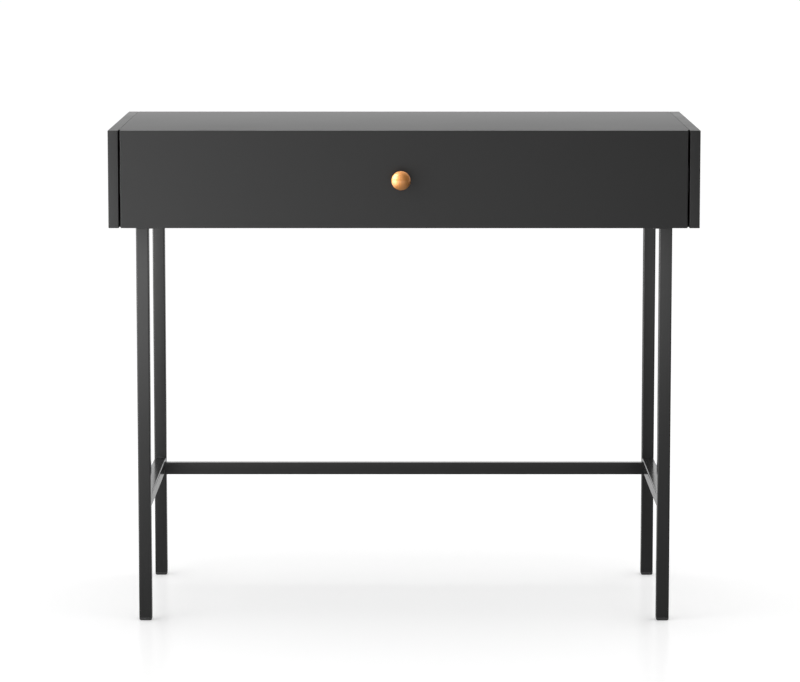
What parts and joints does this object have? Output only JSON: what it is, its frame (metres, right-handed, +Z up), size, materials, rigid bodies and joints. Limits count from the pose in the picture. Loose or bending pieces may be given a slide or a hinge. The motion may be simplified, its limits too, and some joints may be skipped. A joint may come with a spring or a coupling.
{
  "type": "writing desk",
  "caption": "Writing desk: a shallow laminated case with a wide drawer on ball-bearing runners, on slim steel tube legs joined by side rails and a cross bar.",
  "frame": {"origin": "on the floor, at the middle of the footprint of the desk with its knob", "axes": "+X to the right of someone sitting at the desk, +Y from the sitter to the back, +Z up; the drawer opens towards -Y"},
  "size_m": [0.92, 0.4784, 0.779],
  "materials": {
    "laminate_board": "anthracite melamine laminate on chipboard, satin",
    "hardboard": "hardboard with one lacquered anthracite face",
    "powder_coated_steel": "fine-textured anthracite powder coat, semi-matt",
    "black_coated_steel": "steel strip with a thin black dip coat, semi-gloss",
    "zinc_plated_steel": "bright zinc plate",
    "bearing_steel": "zinc-plated strip with polished steel balls",
    "cast_zinc": "bare die-cast zinc",
    "satin_brass": "satin copper-toned brass",
    "black_plastic": "moulded black polyethylene"
  },
  "bodies": {
    "desk": {"top_panel": "laminate_board", "bottom_panel": "laminate_board", "left_side_panel": "laminate_board", "right_side_panel": "laminate_board", "back_panel": "hardboard", "top_cam_front_left": "cast_zinc", "top_cam_front_right": "cast_zinc", "top_cam_rear_left": "cast_zinc", "top_cam_rear_right": "cast_zinc", "bottom_cam_front_left": "cast_zinc", "bottom_cam_front_right": "cast_zinc", "bottom_cam_rear_left": "cast_zinc", "bottom_cam_rear_right": "cast_zinc", "front_left_leg": "powder_coated_steel", "front_left_foot": "black_plastic", "front_right_leg": "powder_coated_steel", "front_right_foot": "black_plastic", "rear_left_leg": "powder_coated_steel", "rear_left_foot": "black_plastic", "rear_right_leg": "powder_coated_steel", "rear_right_foot": "black_plastic", "left_mounting_bar": "powder_coated_steel", "left_side_rail": "powder_coated_steel", "left_threaded_plug": "zinc_plated_steel", "left_cross_bar_bolt": "zinc_plated_steel", "left_cabinet_member": "black_coated_steel", "right_mounting_bar": "powder_coated_steel", "right_side_rail": "powder_coated_steel", "right_threaded_plug": "zinc_plated_steel", "right_cross_bar_bolt": "zinc_plated_steel", "right_cabinet_member": "black_coated_steel", "cross_bar": "powder_coated_steel"},
    "drawer": {"drawer_front": "laminate_board", "drawer_left_side": "laminate_board", "drawer_right_side": "laminate_board", "drawer_back": "laminate_board", "drawer_bottom": "hardboard", "knob": "satin_brass", "knob_screw": "zinc_plated_steel", "left_drawer_member": "black_coated_steel", "right_drawer_member": "black_coated_steel"},
    "left_middle_member": {"left_middle_member": "black_coated_steel"},
    "left_outer_cage": {"left_outer_ball_cage": "bearing_steel"},
    "left_inner_cage": {"left_inner_ball_cage": "bearing_steel"},
    "right_middle_member": {"right_middle_member": "black_coated_steel"},
    "right_outer_cage": {"right_outer_ball_cage": "bearing_steel"},
    "right_inner_cage": {"right_inner_ball_cage": "bearing_steel"}
  },
  "joints": [
    {"name": "drawer_slide", "type": "slide", "parent": "desk", "child": "drawer", "axis": [0, -1, 0], "range_m": [0, 0.39]},
    {"name": "left_middle_member_slide", "type": "slide", "parent": "desk", "child": "left_middle_member", "axis": [0, -1, 0], "range_m": [0, 0.195]},
    {"name": "left_outer_cage_slide", "type": "slide", "parent": "desk", "child": "left_outer_cage", "axis": [0, -1, 0], "range_m": [0, 0.0975]},
    {"name": "left_inner_cage_slide", "type": "slide", "parent": "desk", "child": "left_inner_cage", "axis": [0, -1, 0], "range_m": [0, 0.2925]},
    {"name": "right_middle_member_slide", "type": "slide", "parent": "desk", "child": "right_middle_member", "axis": [0, -1, 0], "range_m": [0, 0.195]},
    {"name": "right_outer_cage_slide", "type": "slide", "parent": "desk", "child": "right_outer_cage", "axis": [0, -1, 0], "range_m": [0, 0.0975]},
    {"name": "right_inner_cage_slide", "type": "slide", "parent": "desk", "child": "right_inner_cage", "axis": [0, -1, 0], "range_m": [0, 0.2925]}
  ],
  "couplings": [
    {"joint": "left_middle_member_slide", "follows": "drawer_slide", "ratio": 0.5},
    {"joint": "left_outer_cage_slide", "follows": "drawer_slide", "ratio": 0.25},
    {"joint": "left_inner_cage_slide", "follows": "drawer_slide", "ratio": 0.75},
    {"joint": "right_middle_member_slide", "follows": "drawer_slide", "ratio": 0.5},
    {"joint": "right_outer_cage_slide", "follows": "drawer_slide", "ratio": 0.25},
    {"joint": "right_inner_cage_slide", "follows": "drawer_slide", "ratio": 0.75}
  ]
}
